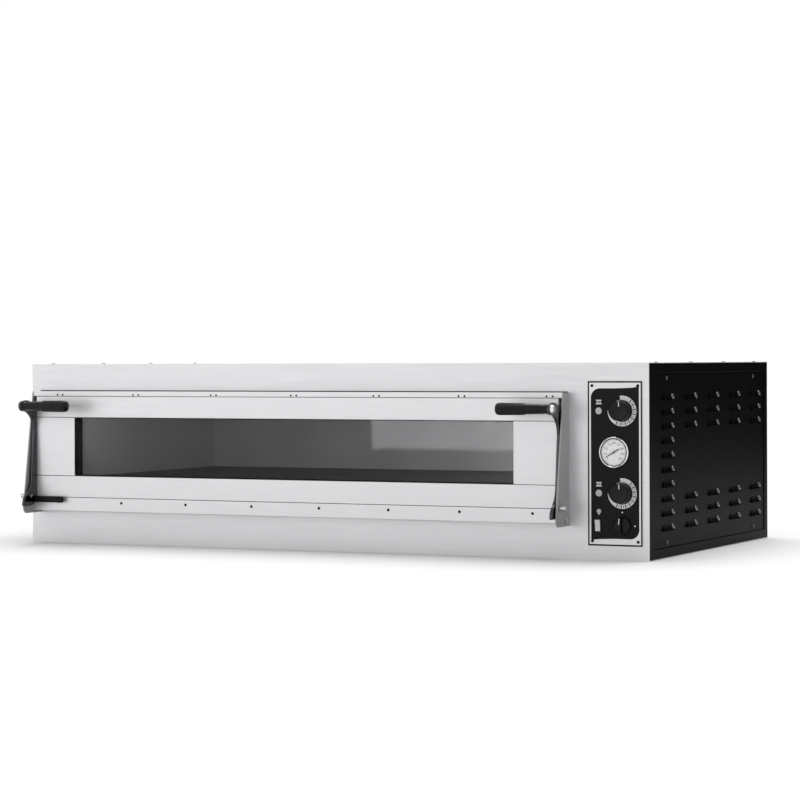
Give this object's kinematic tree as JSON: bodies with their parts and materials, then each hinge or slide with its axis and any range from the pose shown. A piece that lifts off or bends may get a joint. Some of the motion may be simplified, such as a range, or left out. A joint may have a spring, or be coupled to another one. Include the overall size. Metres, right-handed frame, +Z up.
{
  "type": "countertop pizza oven",
  "caption": "Long, low electric deck oven with a glazed drop-down door on side levers, end grips, a control panel at the right and louvred sides.",
  "frame": {"origin": "centre of the cabinet's flat underside", "axes": "+X to the oven's right as seen from the front, +Y to the back, +Z up; the door faces -Y"},
  "size_m": [1.53, 0.9143, 0.4146],
  "materials": {
    "stainless_front": "satin",
    "black_paint": "satin",
    "grey_steel": "satin",
    "galvanised_steel": "matte",
    "chromed_casting": "polished",
    "zinc_fastener": "satin",
    "black_screw": "satin",
    "black_grip": "satin",
    "black_knob": "gloss",
    "tinted_glass": "polished",
    "clear_glass": "polished",
    "baking_stone": "matte",
    "element_steel": "matte",
    "mineral_wool": "matte",
    "seal_rope": "matte",
    "control_face": "satin",
    "white_dial": "matte",
    "switch_body": "matte",
    "lamp_lens": "gloss",
    "rocker_face": "gloss"
  },
  "bodies": {
    "cabinet": {"base_tray": "galvanised_steel", "top_cover": "stainless_front", "back_cover": "black_paint", "side_frame_left": "black_paint", "side_frame_right": "black_paint", "side_panel_left": "black_paint", "side_panel_right": "black_paint", "cabinet_screws": "zinc_fastener", "front_fascia": "stainless_front", "door_lintel": "stainless_front", "door_sill": "stainless_front", "sill_screws": "zinc_fastener", "cheek_left": "grey_steel", "cheek_right": "grey_steel", "hinge_pins": "zinc_fastener", "cheek_bolts": "zinc_fastener", "chamber_roof": "galvanised_steel", "chamber_sides": "galvanised_steel", "chamber_back": "galvanised_steel", "chamber_floor": "galvanised_steel", "baking_stones": "baking_stone", "stone_supports": "galvanised_steel", "heating_elements": "element_steel", "element_saddles": "galvanised_steel", "insulation": "mineral_wool", "electrics_partition": "galvanised_steel", "control_plate": "stainless_front", "control_screws": "black_screw", "thermostats": "switch_body", "selector_switch": "switch_body", "thermometer_case": "chromed_casting", "thermometer_dial": "white_dial", "thermometer_glass": "clear_glass", "indicator_lamps": "lamp_lens", "rocker_housing": "black_knob", "control_gear": "switch_body", "cable_gland": "switch_body", "lamp_holder": "galvanised_steel", "lamp_glass": "clear_glass", "sensing_bulbs": "zinc_fastener"},
    "door": {"door_upper_rail": "stainless_front", "door_lower_rail": "stainless_front", "door_stiles": "stainless_front", "outer_glass": "tinted_glass", "inner_glass": "clear_glass", "door_inner_frame": "black_paint", "glass_spacer": "black_paint", "door_gasket": "seal_rope", "lever_left": "chromed_casting", "lever_right": "chromed_casting", "lever_screws": "zinc_fastener", "grips": "black_grip", "grip_nuts": "chromed_casting", "foot_bar": "black_paint"},
    "upper_knob": {"upper_knob": "black_knob"},
    "lower_knob": {"lower_knob": "black_knob"},
    "selector_knob": {"selector_knob": "black_knob"},
    "rocker": {"rocker": "rocker_face"},
    "needle": {"thermometer_needle": "black_screw"}
  },
  "joints": [
    {"name": "door_hinge", "type": "hinge", "parent": "cabinet", "child": "door", "pos_m": [-0.079, -0.4505, 0.1095], "axis": [1, 0, 0], "range_deg": [0, 90]},
    {"name": "upper_knob_turn", "type": "hinge", "parent": "cabinet", "child": "upper_knob", "pos_m": [0.703, -0.3997, 0.3123], "axis": [0, 1, 0], "range_deg": [0, 270]},
    {"name": "lower_knob_turn", "type": "hinge", "parent": "cabinet", "child": "lower_knob", "pos_m": [0.703, -0.3997, 0.1404], "axis": [0, 1, 0], "range_deg": [0, 270]},
    {"name": "selector_turn", "type": "hinge", "parent": "cabinet", "child": "selector_knob", "pos_m": [0.703, -0.3997, 0.073], "axis": [0, 1, 0], "range_deg": [0, 90]},
    {"name": "rocker_tilt", "type": "hinge", "parent": "cabinet", "child": "rocker", "pos_m": [0.6484, -0.3965, 0.0735], "axis": [-1, 0, 0], "range_deg": [0, 16]},
    {"name": "needle_turn", "type": "hinge", "parent": "cabinet", "child": "needle", "pos_m": [0.686, -0.402, 0.226], "axis": [0, 1, 0], "range_deg": [0, 240]}
  ]
}
